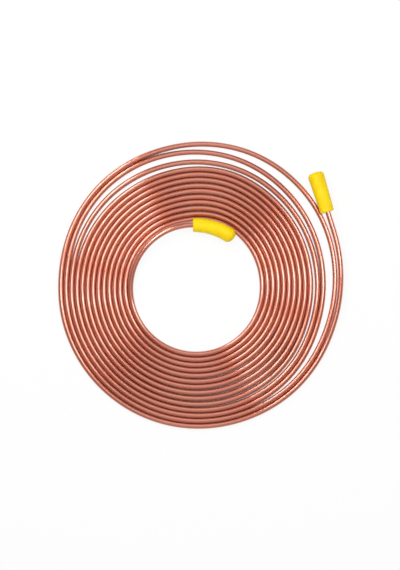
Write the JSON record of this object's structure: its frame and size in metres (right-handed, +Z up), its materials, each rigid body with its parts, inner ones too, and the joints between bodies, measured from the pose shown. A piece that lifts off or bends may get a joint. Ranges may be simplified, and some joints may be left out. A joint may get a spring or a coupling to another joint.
{
  "type": "copper tube coil",
  "caption": "Flat spiral coil of thin soft copper tube lying on its side, with a yellow push-on cap over each end.",
  "frame": {"origin": "centre of the coil's outline, on the floor that the coil lies on", "axes": "+Z up, square to the flat coil; +Y points from the middle of the coil past the inner cap, and the outer cap lies towards +X"},
  "size_m": [0.2538, 0.2558, 0.0167],
  "materials": {
    "copper": "bright drawn copper, satin with fine draw lines",
    "inner_cap_vinyl": "semi-gloss yellow vinyl",
    "outer_cap_vinyl": "semi-gloss yellow vinyl"
  },
  "bodies": {
    "root": {"copper_tube": "copper", "inner_end_cap": "inner_cap_vinyl", "outer_end_cap": "outer_cap_vinyl"}
  },
  "joints": []
}
